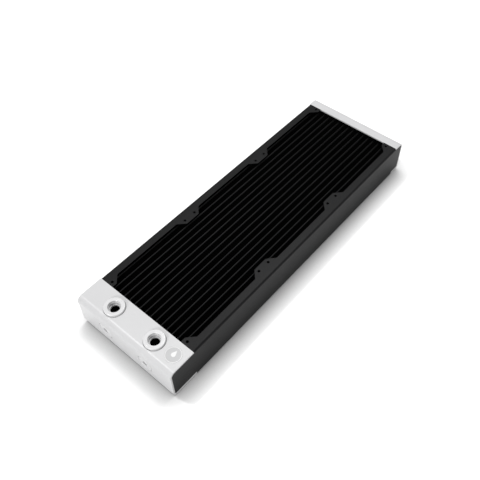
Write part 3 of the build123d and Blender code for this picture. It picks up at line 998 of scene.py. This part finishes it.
# %% Plugs and seals
head_radius = radius_of("front_left_plug")
head_face = -0.1
shank_end = -cover_sheet - 4.3
groove = (thread_radius + 0.32, thread_radius + 1.82)
groove_depth = 1.0
key_size = 6.0
key_depth = 3.7
key_lead = ((0.0, 0.35), (0.1, 0.2), (0.5, 0.0))  # how much wider the hexagon is at a depth
drill_cone = 0.9
head_rim = 0.25
head_rings = (5.2, 7.6)  # rings that keep the head's face flat
seal_slack = 0.02
seal_rounding = 0.3


def make_plug():
    """Plug with its head up."""
    root = thread_radius - thread_gap - thread_height
    quarter = [math.pi / 2 * step / 4 for step in range(5)]
    profile = [(0, head_face - key_depth - drill_cone), (hexagon(key_size), head_face - key_depth)]
    profile += [(hexagon(key_size + wider), head_face - below) for wider, below in key_lead]
    profile += [(ring, head_face) for ring in head_rings]
    for angle in quarter:
        inward, below = head_rim * (1 - math.sin(angle)), head_rim * (1 - math.cos(angle))
        profile.append((head_radius - inward, head_face - below))
    under = -cover_sheet
    profile += [(head_radius, under + 0.1), (head_radius - 0.1, under), (groove[1], under)]
    profile += [(groove[1], under + groove_depth), (groove[0], under + groove_depth), (groove[0], under)]
    profile += [(root, under)]
    profile += thread_rows(under - 0.15, shank_end + thread_stop, plug_surface)
    profile += [(root - thread_stop, shank_end), (0, shank_end)]
    return turned(profile, closed=False)


def make_seal():
    """Rubber ring, pressed flat on both faces."""
    inner, outer = groove[0] + fit_gap, groove[1] - fit_gap
    low, high = -cover_sheet + seal_slack, -cover_sheet + groove_depth - seal_slack
    corners = [(inner, low), (outer, low), (outer, high), (inner, high)]
    return turned(soft_profile([(*corner, seal_rounding) for corner in corners]), closed=True)


plug_mesh = as_mesh("stop plug", make_plug())
seal_mesh = as_mesh("seal ring", make_seal())
for name in flush:
    mouth = mouths[name]
    place_piece(f"{name}_stop", plug_mesh, "plug_white", f"{name}_plug", f"{name}_stop_plug", mouth)
    place_piece(f"{name}_ring", seal_mesh, "seal_rubber", f"{name}_seal", f"{name}_seal_ring", mouth)
print("plug:", len(plug_mesh.polygons), "faces; seal:", len(seal_mesh.polygons), "faces")

# %% [markdown]
# ## Badge
# A pale round badge sits in a pocket of the front cover. It carries a raised rim and a plain water drop,
# which says what runs in the radiator. The drop is an arc closed by two tangents, drawn flat and then
# thickened with rounded edges by the same function that thickens the covers.

# %% Badge
badge_thickness = box("badge")[1].z - box("badge")[0].z
badge_relief = 0.15
badge_rim = 0.7
badge_hub = 0.5  # innermost ring of the disc
drop_radius = 2.3
drop_tip = 5.2
drop_softness = 0.08
drop_sunk = 0.1  # how far the drop reaches into the disc


def make_badge():
    """Disc with a raised rim and a raised drop, its top face at height 0."""
    face = -badge_relief
    inside = badge_radius - badge_rim
    corners = [
        (badge_hub, -badge_thickness, 0), (badge_radius, -badge_thickness, 0.1), (badge_radius, 0, 0.12),
        (inside, 0, 0.07), (inside - 0.1, face, 0.07), (badge_hub, face, 0),
    ]
    disc = [(0, -badge_thickness), *soft_profile(corners), (0, face)]
    badge = turned(disc, closed=False)
    tangent = math.acos(drop_radius / drop_tip)
    steps = 40
    drop = [Vector((0, drop_tip))]
    for step in range(steps + 1):
        angle = math.pi / 2 + tangent + (math.tau - 2 * tangent) * step / steps
        drop.append(Vector((math.cos(angle), math.sin(angle))) * drop_radius)
    blank = make_blank(offset_outline(drop, drop_softness))

    def place(x, spot):
        return (x, spot.x, -spot.y)

    add_drawing(badge, thicken(blank, badge_relief + drop_sunk, drop_softness, place))
    return badge


badge_mesh = as_mesh("badge", make_badge())
place_piece("badge_disc", badge_mesh, "badge_grey", "badge", at=shift(badge_centre.x, badge_centre.y, top_z))
print("badge:", len(badge_mesh.polygons), "faces")

# %% [markdown]
# ## Hidden pieces
# The tanks, header plates, core side plates and the divider are already the right shape in the frame. They
# keep their CAD meshes and take a finish, so that whatever shows through a port or between the fins is right.

# %% Finishes of the kept nodes
kept_nodes = ["tank_divider", "left_core_plate", "right_core_plate"]
kept_nodes += [f"{end}_{kind}" for kind in ("tank", "header_plate") for end in ("front", "rear")]
for name in kept_nodes:
    coats = frame["nodes"][name].data.materials
    coats.clear()
    coats.append(finishes["tank_brass" if name == "tank_divider" else "fin_paint"])
print(len(kept_nodes), "CAD nodes keep their mesh")

# %% [markdown]
# ## Floor, light and camera
# A white part on a white floor is read by its contact shadow and its edges. A large soft lamp above and
# behind, a little to the left, whitens the floor and drops a short shadow in front of the port end. A lamp
# in front fills that end, and a small one high on the left draws the gleam along its bend. The rest is a
# weak even surround. The camera looks down on the port end from the right. The floor's colour carries a
# painted contact shadow: an ambient occlusion mask darkens it where something stands close, which keeps
# the shadow crisp under such soft lamps.

# %% Floor with a painted contact shadow
floor_size = 4000.0
floor_gap = 0.0001
painted_shadow_reach = 0.026
painted_shadow_tone = (0.42, 0.42, 0.42)
open_tone = (0.93, 0.93, 0.93)


def make_floor():
    """Large pale floor that can be looked through from below; its colour holds a painted contact shadow."""
    drawing = bmesh.new()
    bmesh.ops.create_grid(drawing, x_segments=8, y_segments=8, size=floor_size)
    mesh = as_mesh("floor", drawing)
    floor = add_object("floor", mesh)
    floor.location.z = cad_low.z - floor_gap
    material, tree, shader = start_material("Pale floor with painted contact shadow")
    # Painted contact shadow: ambient occlusion darkens the floor's colour where the part stands close.
    close = add_node(tree, "AmbientOcclusion", {"Distance": painted_shadow_reach}, samples=16)
    shade = stretch(tree, close.outputs["AO"], 0.45, 1.0)
    tone = mix_colours(tree, shade, painted_shadow_tone, open_tone)
    tree.links.new(tone, shader.inputs["Base Color"])
    shader.inputs["Roughness"].default_value = 0.9
    shader.inputs["Specular IOR Level"].default_value = 0.1
    clear = add_node(tree, "BsdfTransparent")
    behind = add_node(tree, "NewGeometry").outputs["Backfacing"]
    choice = add_node(tree, "MixShader", {0: behind, 1: shader.outputs[0], 2: clear.outputs[0]})
    tree.links.new(choice.outputs[0], tree.nodes["Material Output"].inputs["Surface"])
    mesh.materials.append(material)


make_floor()
print("floor reaches", floor_size * mm, "m each way")


# %% Lamps
def add_soft_box(name, place, width, depth, power):
    """Rectangular lamp that faces the part; power is in watts."""
    data = bpy.data.lights.new(name, "AREA")
    data.shape = "RECTANGLE"
    data.size = width
    data.size_y = depth
    data.energy = power
    lamp = add_object(name, data)
    lamp.location = place
    lamp.rotation_euler = (-Vector(place)).to_track_quat("-Z", "Y").to_euler()


def make_lights():
    """Weak white surround, a lamp above and behind, and two in front."""
    world = bpy.data.worlds.new("White surround")
    bpy.context.scene.world = world
    world.use_nodes = True
    surround = world.node_tree.nodes["Background"].inputs
    surround["Color"].default_value = (1.0, 1.0, 1.0, 1.0)
    surround["Strength"].default_value = 0.45
    add_soft_box("soft box above", (-0.15, 0.5, 1.3), 0.9, 0.7, 13.0)
    add_soft_box("soft box in front", (0.2, -1.5, 0.7), 0.6, 0.3, 13.0)
    add_soft_box("gleam lamp", (-0.65, -0.4, 1.49), 0.12, 0.12, 8.0)


make_lights()
print("lamps:", len(bpy.data.lights))


# %% Camera
def make_camera():
    """Camera over the port end, turned a little more than 50 degrees down."""
    lens = bpy.data.cameras.new("camera")
    lens.lens = 46.35
    lens.sensor_width = 36.0
    lens.shift_x = -0.0347
    lens.shift_y = -0.0356
    lens.clip_start = 0.01
    lens.dof.use_dof = False
    camera = add_object("camera", lens)
    camera.location = (0.2835, -0.3386, 0.5635)
    camera.rotation_euler = Vector((-0.4072, 0.4865, -0.7730)).to_track_quat("-Z", "Y").to_euler()
    bpy.context.scene.camera = camera


make_camera()
bpy.context.scene.view_settings.view_transform = "Standard"
print("camera", round(bpy.context.scene.camera.location.length, 3), "m from the radiator's middle")
